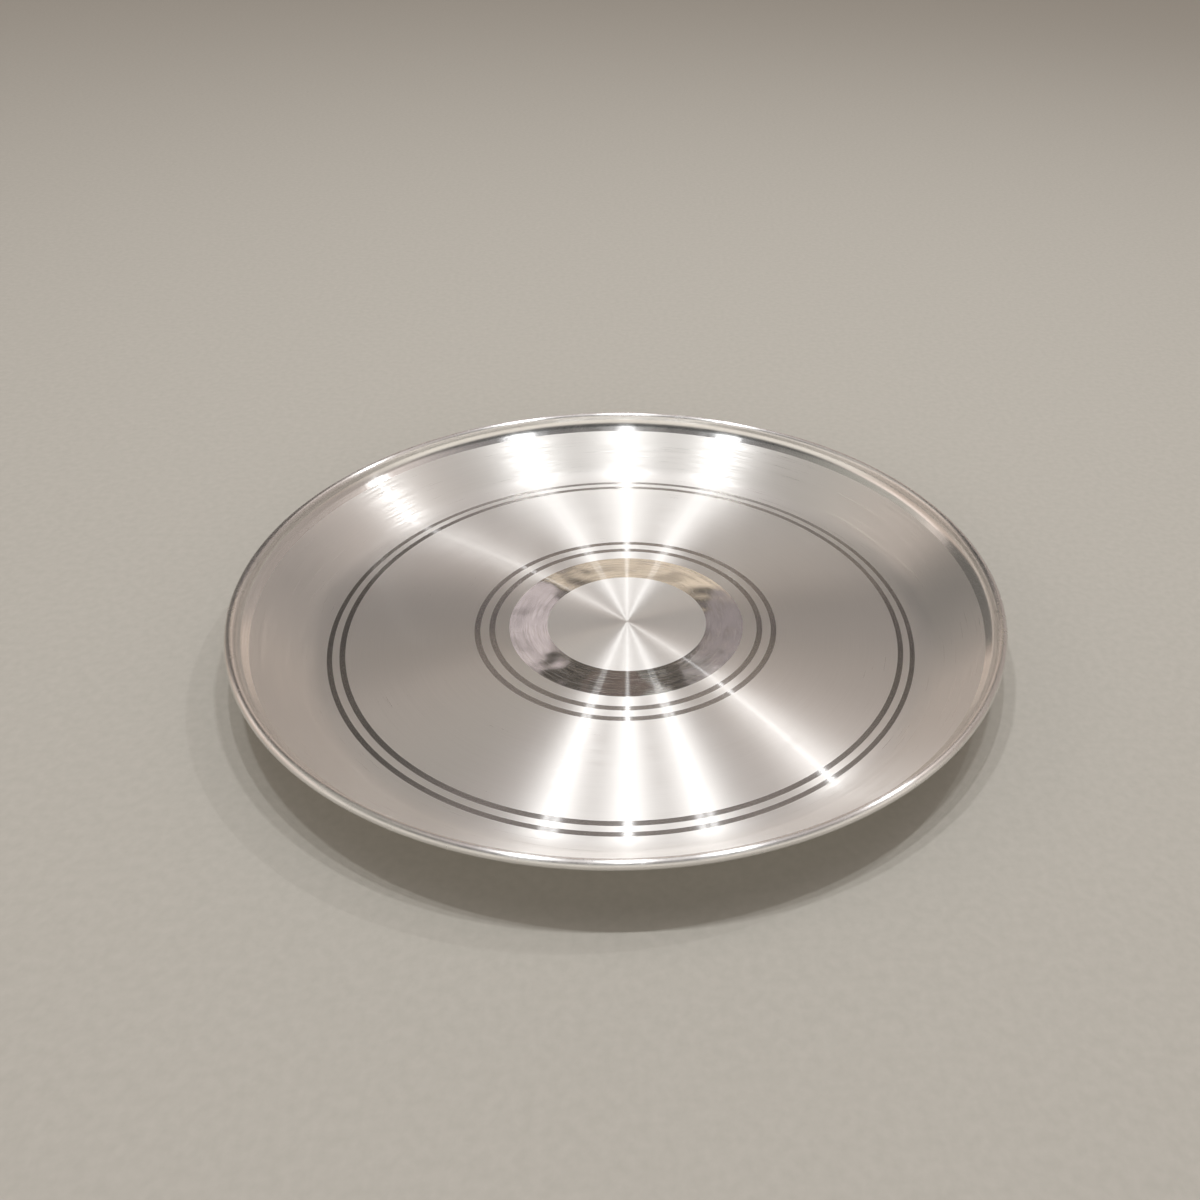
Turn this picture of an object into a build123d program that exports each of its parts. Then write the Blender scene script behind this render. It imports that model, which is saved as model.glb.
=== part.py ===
from build123d import *
from math import asin, atan2, acos, cos, degrees, hypot, radians, sin, sqrt
import os

# A round thali plate, spun from one sheet, with its edge curled over a wire.
# Millimetres, +Z up. The origin is the middle of the underside, on the surface that the plate stands on.

# Driving dimensions
plate_diameter = 305.0       # over the bead at the rim
plate_height = 24.3          # from the resting surface to the top of the bead
sheet_thickness = 0.7
base_radius = 121.3          # flat part of the base, out to where the border bends up
border_bend_radius = 13.2    # inside radius of the bend between base and border
border_below_bead = 0.7      # the border's face, carried on straight, passes this far below the bead's centre
cove_radius = 6.0            # inside radius of the bend from the border up into the steep wall
wire_diameter = 2.0
wire_clearance = 0.1         # between the wire and the sheet curled round it
curl_edge_gap = 0.3          # between the cut edge of the curl and the back of the wall

# The bead's centre, in the section plane: x is the radius, z the height
curl_inside_radius = wire_diameter / 2 + wire_clearance
bead_radius = curl_inside_radius + sheet_thickness
bead_x = plate_diameter / 2 - bead_radius
bead_z = plate_height - bead_radius

# The border: a straight slope, tangent to the base bend, aimed just below the bead's centre
bend_x = base_radius
bend_z = sheet_thickness + border_bend_radius
bend_to_bead = hypot(bead_x - bend_x, bead_z - bend_z)
border_slope = atan2(bead_z - bend_z, bead_x - bend_x)
border_slope += asin((border_bend_radius - border_below_bead) / bend_to_bead)

# The cove: an arc tangent to the border's face and to the outside of the bead
cove_to_bead = cove_radius + bead_radius
cove_back = sqrt(cove_to_bead**2 - (cove_radius - border_below_bead) ** 2)
cove_lift = cove_radius - border_below_bead
cove_x = bead_x - cove_back * cos(border_slope) - cove_lift * sin(border_slope)
cove_z = bead_z - cove_back * sin(border_slope) + cove_lift * cos(border_slope)

# The curl: it leaves the wall where cove and bead touch, and stops short of the wall's back
bead_from_cove = atan2(bead_z - cove_z, bead_x - cove_x)
edge_from_cove = cove_radius + sheet_thickness + curl_edge_gap
edge_turn = acos((edge_from_cove**2 - cove_to_bead**2 - bead_radius**2) / (2 * cove_to_bead * bead_radius))
curl_start = bead_from_cove + radians(180)
curl_sweep = -(radians(180) + edge_turn)


def on_circle(x, z, radius, angle):
    """The point of a circle at an angle from the outward direction, in the section plane."""
    return (x + radius * cos(angle), z + radius * sin(angle))


def sheet_face(offset):
    """One face of the sheet from the plate's axis to the curl's cut edge; offset is its depth below the top face."""
    bend = border_bend_radius + offset
    cove = cove_radius + offset
    curl = bead_radius - offset
    slope_down = border_slope - radians(90)
    base_edge = on_circle(bend_x, bend_z, bend, radians(-90))
    Line((0, sheet_thickness - offset), base_edge)
    CenterArc((bend_x, bend_z), bend, -90, degrees(border_slope))
    Line(on_circle(bend_x, bend_z, bend, slope_down), on_circle(cove_x, cove_z, cove, slope_down))
    CenterArc((cove_x, cove_z), cove, degrees(slope_down), degrees(bead_from_cove - slope_down))
    CenterArc((bead_x, bead_z), curl, degrees(curl_start), degrees(curl_sweep))


def make_dish():
    """The spun sheet: base, border, wall and curled edge in one piece."""
    with BuildPart() as dish:
        with BuildSketch(Plane.XZ):
            with BuildLine():
                sheet_face(0)
                sheet_face(sheet_thickness)
                Line((0, 0), (0, sheet_thickness))
                curl_end = curl_start + curl_sweep
                Line(
                    on_circle(bead_x, bead_z, curl_inside_radius, curl_end),
                    on_circle(bead_x, bead_z, bead_radius, curl_end),
                )
            make_face()
        revolve(axis=Axis.Z)
    return dish.part


def make_rim_wire():
    """The round wire that the edge is curled over, as a closed ring."""
    with BuildPart() as wire:
        with BuildSketch(Plane.XZ):
            with Locations((bead_x, bead_z)):
                Circle(wire_diameter / 2)
        revolve(axis=Axis.Z)
    return wire.part


os.makedirs("parts", exist_ok=True)
pieces = {"dish": make_dish(), "rim_wire": make_rim_wire()}
for node, piece in pieces.items():
    export_step(piece, f"parts/{node}.step")
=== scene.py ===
import math

import bpy
from mathutils import Matrix, Vector


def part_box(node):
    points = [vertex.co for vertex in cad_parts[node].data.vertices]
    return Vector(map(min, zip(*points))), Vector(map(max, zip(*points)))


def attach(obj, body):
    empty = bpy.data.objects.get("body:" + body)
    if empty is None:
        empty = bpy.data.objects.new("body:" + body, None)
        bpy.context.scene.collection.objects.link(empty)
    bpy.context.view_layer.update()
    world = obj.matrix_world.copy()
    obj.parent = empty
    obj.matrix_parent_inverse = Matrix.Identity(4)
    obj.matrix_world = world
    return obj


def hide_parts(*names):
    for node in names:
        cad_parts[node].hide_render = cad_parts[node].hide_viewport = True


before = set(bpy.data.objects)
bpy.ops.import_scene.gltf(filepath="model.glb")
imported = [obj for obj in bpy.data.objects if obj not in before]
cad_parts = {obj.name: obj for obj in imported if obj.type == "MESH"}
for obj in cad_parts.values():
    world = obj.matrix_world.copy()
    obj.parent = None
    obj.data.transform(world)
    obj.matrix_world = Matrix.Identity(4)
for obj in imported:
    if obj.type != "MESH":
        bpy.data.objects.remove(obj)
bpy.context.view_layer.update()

MM = 0.001

# Sizes of the spun sheet, in metres. The rim's radius and height come from the frame.
dish_low, dish_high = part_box("dish")
plate_radius = min(dish_high.x, dish_high.y, -dish_low.x, -dish_low.y)
plate_height = dish_high.z
sheet_thickness = 0.7 * MM
base_radius = 121.3 * MM
border_bend_radius = 13.2 * MM
border_below_bead = 0.7 * MM
cove_radius = 6.0 * MM
bead_radius = 1.8 * MM
curl_edge_gap = 0.3 * MM

# Radii of the polished zones on the flat base, and the radius where the satin border ends
mirror_band = (33.0 * MM, 48.55 * MM)
inner_rings = [(54.2 * MM, 56.6 * MM), (60.15 * MM, 62.5 * MM)]
outer_rings = [(112.75 * MM, 114.95 * MM), (117.65 * MM, 119.65 * MM)]
satin_edge_radius = 145.0 * MM

# How finely the sheet's section and its turn are divided, and the angle from which an edge is sharp
turn_steps = 600
bend_steps = 14
cove_steps = 16
curl_steps = 44
sharp_angle = math.radians(40)

# The finishes, in the order of the dish's materials
DISC, FIELD, BORDER, MIRROR, INNER_RING, OUTER_RING, WALL, BEAD, UNDERSIDE = range(9)

# The middle range of a noise, over which values and colours are spread
noise_low = 0.3
noise_high = 0.7

# The gloss of the finest turned lines
thin_gloss_colour = (0.85, 0.84, 0.82)
thin_gloss_roughness = 0.193
thin_gloss_anisotropy = 0.893

# The lamps, in metres
lamp_height = 1.6
lamp_size = 0.04
lamp_colour = (0.96, 0.98, 1.0)
lamp_row = 0.18              # how far beyond the plate's middle most of them hang

# How bright the light of the room is
world_strength = 1.35


def on_circle(centre, radius, angle):
    """A point of the section: x is the distance from the plate's axis, y the height."""
    return (centre[0] + radius * math.cos(angle), centre[1] + radius * math.sin(angle))


def arc(centre, radius, start, sweep, steps):
    """Points along an arc of the section, both ends included."""
    return [on_circle(centre, radius, start + sweep * i / steps) for i in range(steps + 1)]


def sheet_section():
    """The two faces of the sheet, each a list of points from the plate's axis to the curl's cut edge."""
    quarter = math.pi / 2
    bead = (plate_radius - bead_radius, plate_height - bead_radius)
    bend = (base_radius, sheet_thickness + border_bend_radius)
    across, up = bead[0] - bend[0], bead[1] - bend[1]
    slope = math.atan2(up, across)
    slope += math.asin((border_bend_radius - border_below_bead) / math.hypot(across, up))
    reach = cove_radius + bead_radius
    lift = cove_radius - border_below_bead
    back = math.sqrt(reach**2 - lift**2)
    cove = (
        bead[0] - back * math.cos(slope) - lift * math.sin(slope),
        bead[1] - back * math.sin(slope) + lift * math.cos(slope),
    )
    towards_bead = math.atan2(bead[1] - cove[1], bead[0] - cove[0])
    edge_reach = cove_radius + sheet_thickness + curl_edge_gap
    edge_turn = math.acos((edge_reach**2 - reach**2 - bead_radius**2) / (2 * reach * bead_radius))
    faces = []
    for depth in (0, sheet_thickness):
        points = [(0, sheet_thickness - depth)]
        points += arc(bend, border_bend_radius + depth, -quarter, slope, bend_steps)
        points += arc(cove, cove_radius + depth, slope - quarter, towards_bead - slope + quarter, cove_steps)
        curl = arc(bead, bead_radius - depth, towards_bead + math.pi, -math.pi - edge_turn, curl_steps)
        points += curl[1:]
        faces.append(points)
    return faces


def with_ring_edges(top):
    """The top face with a point added at each edge of a polished zone, and the finish of each stretch."""
    edges = [radius for zone in (mirror_band, *inner_rings, *outer_rings) for radius in zone]
    flat = [(radius, sheet_thickness) for radius in edges]
    points = [top[0], *flat, *top[1:]]
    at_satin_edge = next(i for i, p in enumerate(points) if p[0] > satin_edge_radius)
    before, after = points[at_satin_edge - 1], points[at_satin_edge]
    share = (satin_edge_radius - before[0]) / (after[0] - before[0])
    points.insert(at_satin_edge, (satin_edge_radius, before[1] + share * (after[1] - before[1])))
    finishes = []
    for index, (near, far) in enumerate(zip(points, points[1:])):
        middle = (near[0] + far[0]) / 2
        if index >= len(points) - 1 - curl_steps:
            finishes.append(BEAD)
        elif index >= at_satin_edge:
            finishes.append(WALL)
        elif middle > base_radius:
            finishes.append(BORDER)
        elif middle < mirror_band[0]:
            finishes.append(DISC)
        elif middle < mirror_band[1]:
            finishes.append(MIRROR)
        elif any(inner < middle < outer for inner, outer in inner_rings):
            finishes.append(INNER_RING)
        elif any(inner < middle < outer for inner, outer in outer_rings):
            finishes.append(OUTER_RING)
        else:
            finishes.append(FIELD)
    return points, finishes


def turned_mesh(name, section, finishes):
    """A closed mesh made by turning a section about the Z axis. Both ends of the section lie on the axis."""
    vertices = [(0, 0, section[0][1])]
    for radius, height in section[1:-1]:
        for step in range(turn_steps):
            angle = 2 * math.pi * step / turn_steps
            vertices.append((radius * math.cos(angle), radius * math.sin(angle), height))
    vertices.append((0, 0, section[-1][1]))
    last = len(vertices) - 1
    rows = len(section) - 2
    faces = []
    zones = []
    for step in range(turn_steps):
        turn = (step + 1) % turn_steps
        faces.append((0, 1 + step, 1 + turn))
        zones.append(finishes[0])
        for row in range(rows - 1):
            inner = 1 + row * turn_steps
            outer = inner + turn_steps
            faces.append((inner + step, outer + step, outer + turn, inner + turn))
            zones.append(finishes[row + 1])
        outer = 1 + (rows - 1) * turn_steps
        faces.append((last, outer + turn, outer + step))
        zones.append(finishes[-1])
    mesh = bpy.data.meshes.new(name)
    mesh.from_pydata(vertices, [], faces)
    mesh.polygons.foreach_set("material_index", zones)
    mesh.polygons.foreach_set("use_smooth", [True] * len(faces))
    mesh.set_sharp_from_angle(angle=sharp_angle)
    mesh.update()
    return mesh


# Materials

def new_material(name):
    """A material with its node tree and its Principled shader."""
    material = bpy.data.materials.new(name)
    material.use_nodes = True
    tree = material.node_tree
    return material, tree, tree.nodes["Principled BSDF"]


def link(tree, output, socket):
    """Joins one node's output to another's socket."""
    tree.links.new(output, socket)


def maths(tree, operation, first, second):
    """A Math node of two values, each a number or a socket."""
    node = tree.nodes.new("ShaderNodeMath")
    node.operation = operation
    for socket, value in zip(node.inputs, (first, second)):
        if isinstance(value, (int, float)):
            socket.default_value = value
        else:
            link(tree, value, socket)
    return node.outputs["Value"]


def turned_lines(tree, lines_per_metre, breaks):
    """Noise drawn out along circles round the plate's axis. A line changes about breaks times a radian."""
    place = tree.nodes.new("ShaderNodeTexCoord")
    flat = tree.nodes.new("ShaderNodeVectorMath")
    flat.operation = "MULTIPLY"
    flat.inputs[1].default_value = (1, 1, 0)
    link(tree, place.outputs["Object"], flat.inputs[0])
    length = tree.nodes.new("ShaderNodeVectorMath")
    length.operation = "LENGTH"
    link(tree, flat.outputs["Vector"], length.inputs[0])
    way = tree.nodes.new("ShaderNodeVectorMath")
    way.operation = "NORMALIZE"
    link(tree, flat.outputs["Vector"], way.inputs[0])
    along = tree.nodes.new("ShaderNodeSeparateXYZ")
    link(tree, way.outputs["Vector"], along.inputs["Vector"])
    mixed = tree.nodes.new("ShaderNodeCombineXYZ")
    link(tree, maths(tree, "MULTIPLY", length.outputs["Value"], lines_per_metre), mixed.inputs["X"])
    link(tree, maths(tree, "MULTIPLY", along.outputs["X"], breaks), mixed.inputs["Y"])
    link(tree, maths(tree, "MULTIPLY", along.outputs["Y"], breaks), mixed.inputs["Z"])
    noise = tree.nodes.new("ShaderNodeTexNoise")
    noise.inputs["Scale"].default_value = 1
    noise.inputs["Detail"].default_value = 3
    noise.inputs["Roughness"].default_value = 0.6
    link(tree, mixed.outputs["Vector"], noise.inputs["Vector"])
    return noise.outputs["Fac"]


def cloud(tree, scale, detail=2.0):
    """Plain noise over the object, scale in lumps for each metre."""
    place = tree.nodes.new("ShaderNodeTexCoord")
    noise = tree.nodes.new("ShaderNodeTexNoise")
    noise.inputs["Scale"].default_value = scale
    noise.inputs["Detail"].default_value = detail
    link(tree, place.outputs["Object"], noise.inputs["Vector"])
    return noise.outputs["Fac"]


def spread_value(tree, noise, low, high):
    """A value that runs from low to high over a noise's middle range."""
    node = tree.nodes.new("ShaderNodeMapRange")
    node.inputs["From Min"].default_value = noise_low
    node.inputs["From Max"].default_value = noise_high
    node.inputs["To Min"].default_value = low
    node.inputs["To Max"].default_value = high
    link(tree, noise, node.inputs["Value"])
    return node.outputs["Result"]


def colour_by(tree, shader, noise, low, high):
    """Gives the shader a colour that runs between two over a noise's middle range."""
    ramp = tree.nodes.new("ShaderNodeValToRGB")
    first, last = ramp.color_ramp.elements
    first.position = noise_low
    first.color = (*low, 1)
    last.position = noise_high
    last.color = (*high, 1)
    link(tree, noise, ramp.inputs["Fac"])
    link(tree, ramp.outputs["Color"], shader.inputs["Base Color"])


def bump_by(tree, shader, noise, depth, strength):
    """Gives the shader small bumps that follow a noise, depth in metres."""
    node = tree.nodes.new("ShaderNodeBump")
    node.inputs["Distance"].default_value = depth
    node.inputs["Strength"].default_value = strength
    link(tree, noise, node.inputs["Height"])
    link(tree, node.outputs["Normal"], shader.inputs["Normal"])


def along_turned_lines(tree):
    """The direction of the turned lines, round the plate's axis."""
    tangent = tree.nodes.new("ShaderNodeTangent")
    tangent.direction_type = "RADIAL"
    tangent.axis = "Z"
    return tangent.outputs["Tangent"]


def turned_finish(tree, shader, strength):
    """Sharp along the turned lines and blurred across them, which draws highlights out into spokes."""
    quarter_turn = 0.25
    link(tree, along_turned_lines(tree), shader.inputs["Tangent"])
    shader.inputs["Anisotropic"].default_value = strength
    shader.inputs["Anisotropic Rotation"].default_value = quarter_turn


def add_thin_spokes(tree, shader, share):
    """Mixes in the gloss of the finest turned lines, which draws a lamp far outwards but hardly sideways."""
    gloss = tree.nodes.new("ShaderNodeBsdfAnisotropic")
    gloss.inputs["Color"].default_value = (*thin_gloss_colour, 1)
    gloss.inputs["Roughness"].default_value = thin_gloss_roughness
    gloss.inputs["Anisotropy"].default_value = thin_gloss_anisotropy
    link(tree, along_turned_lines(tree), gloss.inputs["Tangent"])
    mix = tree.nodes.new("ShaderNodeMixShader")
    mix.inputs["Fac"].default_value = share
    link(tree, shader.outputs["BSDF"], mix.inputs[1])
    link(tree, gloss.outputs["BSDF"], mix.inputs[2])
    link(tree, mix.outputs["Shader"], tree.nodes["Material Output"].inputs["Surface"])


def satin_metal(name, smoothest, roughest, metallic):
    """The brushed face: fine circular lines from the lathe, between two values of roughness."""
    material, tree, shader = new_material(name)
    lines = turned_lines(tree, 5000, 3)
    wear = spread_value(tree, cloud(tree, 35), -0.01, 0.01)
    turned_finish(tree, shader, 1)
    shader.inputs["Metallic"].default_value = metallic
    colour_by(tree, shader, lines, (0.80, 0.78, 0.75), (0.85, 0.83, 0.80))
    rough = maths(tree, "ADD", spread_value(tree, lines, smoothest, roughest), wear)
    link(tree, rough, shader.inputs["Roughness"])
    bump_by(tree, shader, lines, 0.003 * MM, 1)
    add_thin_spokes(tree, shader, 0.03)
    return material


def mirror_metal():
    """The broad polished band on the base: a wavy mirror with a few rougher lines left in it."""
    material, tree, shader = new_material("mirror_metal")
    lines = turned_lines(tree, 12000, 2)
    turned_finish(tree, shader, 1)
    shader.inputs["Metallic"].default_value = 1
    colour_by(tree, shader, lines, (0.76, 0.74, 0.715), (0.82, 0.80, 0.775))
    few_lines = maths(tree, "POWER", spread_value(tree, lines, 0, 1), 4)
    rough = maths(tree, "ADD", maths(tree, "MULTIPLY", few_lines, 0.30), 0.05)
    link(tree, rough, shader.inputs["Roughness"])
    bump_by(tree, shader, cloud(tree, 60, 1), 0.22 * MM, 1)
    add_thin_spokes(tree, shader, 0.07)
    return material


def ring_metal(name, smoothest, roughest):
    """A pair of thin polished rings: turned with a fine tool, so a little softer than the band. Their colour
    is painted dark, a painted reflection of a dark room, well below the tone of the other polished metal.
    """
    material, tree, shader = new_material(name)
    lines = turned_lines(tree, 3000, 2)
    turned_finish(tree, shader, 1)
    shader.inputs["Metallic"].default_value = 1
    # Painted shade: the rings' colour is set far darker than the metal's own, standing in for the dark room
    # they reflect
    colour_by(tree, shader, lines, (0.44, 0.42, 0.40), (0.51, 0.49, 0.47))
    link(tree, spread_value(tree, lines, smoothest, roughest), shader.inputs["Roughness"])
    bump_by(tree, shader, lines, 0.002 * MM, 0.5)
    add_thin_spokes(tree, shader, 0.18)
    return material


def wall_metal():
    """The polished wall under the bead, with the small dents of a hand-worked edge."""
    material, tree, shader = new_material("wall_metal")
    dents = cloud(tree, 160, 3)
    lines = turned_lines(tree, 1500, 6)
    turned_finish(tree, shader, 1)
    shader.inputs["Metallic"].default_value = 1
    colour_by(tree, shader, lines, (0.78, 0.77, 0.75), (0.86, 0.85, 0.83))
    link(tree, spread_value(tree, dents, 0.12, 0.15), shader.inputs["Roughness"])
    bump_by(tree, shader, dents, 0.12 * MM, 0.25)
    add_thin_spokes(tree, shader, 0.06)
    return material


def bead_metal():
    """The curled bead: polished, with faint dents where it was rolled over the wire."""
    material, tree, shader = new_material("bead_metal")
    dents = cloud(tree, 220, 3)
    lines = turned_lines(tree, 1500, 6)
    turned_finish(tree, shader, 1)
    shader.inputs["Metallic"].default_value = 1
    colour_by(tree, shader, lines, (0.78, 0.765, 0.745), (0.86, 0.845, 0.825))
    link(tree, spread_value(tree, dents, 0.22, 0.28), shader.inputs["Roughness"])
    bump_by(tree, shader, dents, 0.1 * MM, 0.15)
    return material


def underside_metal():
    """The back of the sheet: duller, with coarser marks from the spinning tool."""
    material, tree, shader = new_material("underside_metal")
    lines = turned_lines(tree, 900, 3)
    wear = spread_value(tree, cloud(tree, 50, 4), -0.02, 0.02)
    turned_finish(tree, shader, 0.6)
    shader.inputs["Metallic"].default_value = 1
    colour_by(tree, shader, lines, (0.66, 0.65, 0.63), (0.76, 0.75, 0.73))
    rough = maths(tree, "ADD", spread_value(tree, lines, 0.32, 0.46), wear)
    link(tree, rough, shader.inputs["Roughness"])
    bump_by(tree, shader, lines, 0.02 * MM, 0.4)
    return material


def wire_metal():
    """Plain drawn wire, dull from the mill."""
    material, tree, shader = new_material("wire_metal")
    scale = cloud(tree, 400, 4)
    shader.inputs["Metallic"].default_value = 1
    colour_by(tree, shader, scale, (0.55, 0.54, 0.52), (0.7, 0.69, 0.67))
    link(tree, spread_value(tree, scale, 0.35, 0.55), shader.inputs["Roughness"])
    bump_by(tree, shader, scale, 0.02 * MM, 0.4)
    return material


def make_dish():
    """The spun sheet as one closed turned mesh, with a finish for each zone."""
    top, bottom = sheet_section()
    points, finishes = with_ring_edges(top)
    section = [*points, *reversed(bottom)]
    finishes += [UNDERSIDE] * (len(section) - len(points))
    dish = bpy.data.objects.new("spun_dish", turned_mesh("spun_dish", section, finishes))
    bpy.context.scene.collection.objects.link(dish)
    materials = [
        satin_metal("satin_disc", 0.34, 0.60, 0.7),
        satin_metal("satin_field", 0.28, 0.52, 0.9),
        satin_metal("satin_border", 0.27, 0.54, 0.9),
        mirror_metal(),
        ring_metal("inner_rings", 0.19, 0.22),
        ring_metal("outer_rings", 0.15, 0.17),
        wall_metal(),
        bead_metal(),
        underside_metal(),
    ]
    for material in materials:
        dish.data.materials.append(material)
    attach(dish, "root")
    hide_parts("dish")


def dress_rim_wire():
    """The wire keeps its own shape and gets its finish."""
    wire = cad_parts["rim_wire"]
    wire.data.materials.clear()
    wire.data.materials.append(wire_metal())


# Stage, light and camera

def make_floor():
    """A plain pale floor, wide enough to fill the picture."""
    half = 5.0
    below = -0.2 * MM
    mesh = bpy.data.meshes.new("floor")
    corners = [(-half, -half, below), (half, -half, below), (half, half, below), (-half, half, below)]
    mesh.from_pydata(corners, [], [(0, 1, 2, 3)])
    floor = bpy.data.objects.new("floor", mesh)
    bpy.context.scene.collection.objects.link(floor)
    material, tree, shader = new_material("pale_floor")
    grain = cloud(tree, 300, 4)
    colour_by(tree, shader, grain, (0.50, 0.48, 0.43), (0.54, 0.515, 0.465))
    shader.inputs["Roughness"].default_value = 0.9
    shader.inputs["Specular IOR Level"].default_value = 0.1
    mesh.materials.append(material)


def ceiling_lamp(name, across, along, power):
    """A small round lamp under the ceiling, which faces the plate."""
    light = bpy.data.lights.new(name, "AREA")
    light.shape = "DISK"
    light.size = lamp_size
    light.energy = power
    light.color = lamp_colour
    lamp = bpy.data.objects.new(name, light)
    place = Vector((across, along, lamp_height))
    lamp.matrix_world = Matrix.Translation(place) @ place.to_track_quat("Z", "Y").to_matrix().to_4x4()
    bpy.context.scene.collection.objects.link(lamp)


def make_lights():
    """Six small lamps overhead, which the turned lines draw out into streaks across the plate."""
    ceiling_lamp("left_lamp_1", -0.355, lamp_row, 1.9)
    ceiling_lamp("left_lamp_2", -0.310, lamp_row, 1.9)
    ceiling_lamp("middle_lamp", 0.0, lamp_row, 3.3)
    ceiling_lamp("right_lamp_1", 0.314, lamp_row, 1.9)
    ceiling_lamp("right_lamp_2", 0.366, lamp_row, 1.9)
    ceiling_lamp("far_right_lamp", 0.873, 0.676, 2.9)


def height_colours(tree, height, stops):
    """A colour ramp over the sine of the angle above the horizon."""
    ramp = tree.nodes.new("ShaderNodeValToRGB")
    elements = ramp.color_ramp.elements
    while len(elements) < len(stops):
        elements.new(0.5)
    for element, (position, colour) in zip(elements, stops):
        element.position = position
        element.color = (*colour, 1)
    link(tree, height, ramp.inputs["Fac"])
    return ramp.outputs["Color"]


def smooth_step(tree, value, start, end):
    """A value that runs softly from 0 at start to 1 at end, and stays so beyond them."""
    node = tree.nodes.new("ShaderNodeMapRange")
    node.interpolation_type = "SMOOTHSTEP"
    node.inputs["From Min"].default_value = start
    node.inputs["From Max"].default_value = end
    link(tree, value, node.inputs["Value"])
    return node.outputs["Result"]


def soft_oval(tree, way, middle, reaches):
    """A soft-edged oval of the room, 1 inside and 0 outside, placed by x and z of a direction."""
    outside, inside = 1.6, 0.7
    across = maths(tree, "DIVIDE", maths(tree, "SUBTRACT", way.outputs["X"], middle[0]), reaches[0])
    up = maths(tree, "DIVIDE", maths(tree, "SUBTRACT", way.outputs["Z"], middle[1]), reaches[1])
    reach = maths(tree, "ADD", maths(tree, "POWER", across, 2), maths(tree, "POWER", up, 2))
    return smooth_step(tree, reach, outside, inside)


def mix_colours(tree, share, first, second):
    """One colour or another, each a socket or a plain colour, by a share from 0 to 1."""
    node = tree.nodes.new("ShaderNodeMixRGB")
    link(tree, share, node.inputs["Fac"])
    for socket, colour in zip((node.inputs["Color1"], node.inputs["Color2"]), (first, second)):
        if isinstance(colour, tuple):
            socket.default_value = (*colour, 1)
        else:
            link(tree, colour, socket)
    return node.outputs["Color"]


def make_world():
    """Soft room light: pale beyond the plate, with a dark window, and dark high up behind the camera."""
    beyond = [
        (0.0, (0.40, 0.33, 0.28)),
        (0.35, (0.50, 0.41, 0.355)),
        (0.50, (0.90, 0.765, 0.695)),
        (0.74, (0.90, 0.79, 0.74)),
        (0.84, (0.52, 0.465, 0.445)),
        (1.0, (0.56, 0.52, 0.52)),
    ]
    behind = [
        (0.0, (0.75, 0.70, 0.63)),
        (0.45, (0.70, 0.65, 0.59)),
        (0.56, (0.35, 0.325, 0.295)),
        (0.66, (0.045, 0.045, 0.045)),
        (0.955, (0.045, 0.045, 0.045)),
        (0.985, (0.60, 0.56, 0.52)),
        (1.0, (0.70, 0.70, 0.70)),
    ]
    behind_ends, beyond_starts = -0.3, 0.2
    patches = [
        ((-0.58, 0.77), (0.26, 0.17), (0.31, 0.30, 0.27)),  # shade high on the left
        ((-0.52, 0.28), (0.22, 0.28), (0.12, 0.112, 0.102)),  # shade low on the left
        ((0.70, 0.36), (0.30, 0.36), (0.30, 0.26, 0.2375)),  # shade on the right
        ((-0.03, 0.61), (0.40, 0.17), (0.035, 0.032, 0.029)),  # the window, which the mirror band shows
        ((0.02, 0.548), (0.09, 0.022), (0.90, 0.76, 0.60)),  # its warm sill
        ((0.185, 0.53), (0.06, 0.022), (0.34, 0.30, 0.24)),  # the sill's dim end
        ((-0.088, 0.59), (0.026, 0.035), (0.66, 0.58, 0.59)),  # a pale card at its left
        ((0.092, 0.60), (0.026, 0.035), (0.32, 0.28, 0.285)),  # a dim card at its right
        ((-0.012, 0.645), (0.022, 0.016), (0.15, 0.105, 0.09)),  # a brown card above them
        ((0.075, 0.638), (0.02, 0.010), (0.80, 0.74, 0.74)),  # a small pale card
        ((0.022, 0.652), (0.012, 0.007), (1.0, 1.0, 0.95)),  # a small white card
    ]
    world = bpy.data.worlds.new("studio")
    world.use_nodes = True
    tree = world.node_tree
    place = tree.nodes.new("ShaderNodeTexCoord")
    way = tree.nodes.new("ShaderNodeSeparateXYZ")
    link(tree, place.outputs["Generated"], way.inputs["Vector"])
    far_wall = height_colours(tree, way.outputs["Z"], beyond)
    for middle, reaches, colour in patches:
        far_wall = mix_colours(tree, soft_oval(tree, way, middle, reaches), far_wall, colour)
    near_wall = height_colours(tree, way.outputs["Z"], behind)
    side = smooth_step(tree, way.outputs["Y"], behind_ends, beyond_starts)
    background = tree.nodes["Background"]
    background.inputs["Strength"].default_value = world_strength
    link(tree, mix_colours(tree, side, near_wall, far_wall), background.inputs["Color"])
    bpy.context.scene.world = world


def make_camera():
    """A camera at the photograph's viewpoint, with its lens, its roll and its framing."""
    eye = Vector((0.0019, -0.3692, 0.2714))
    aim = Vector((0.0388, 0.0155, 0.0007))
    roll = math.radians(3.1)
    data = bpy.data.cameras.new("camera")
    data.lens = 32.72
    data.sensor_width = 36
    data.shift_x = -0.0977
    data.clip_start = 0.01
    camera = bpy.data.objects.new("camera", data)
    turn = (aim - eye).to_track_quat("-Z", "Y").to_matrix() @ Matrix.Rotation(roll, 3, "Z")
    camera.matrix_world = Matrix.Translation(eye) @ turn.to_4x4()
    bpy.context.scene.collection.objects.link(camera)
    bpy.context.scene.camera = camera


make_dish()
dress_rim_wire()
make_floor()
make_lights()
make_world()
make_camera()
bpy.context.scene.view_settings.view_transform = "Standard"
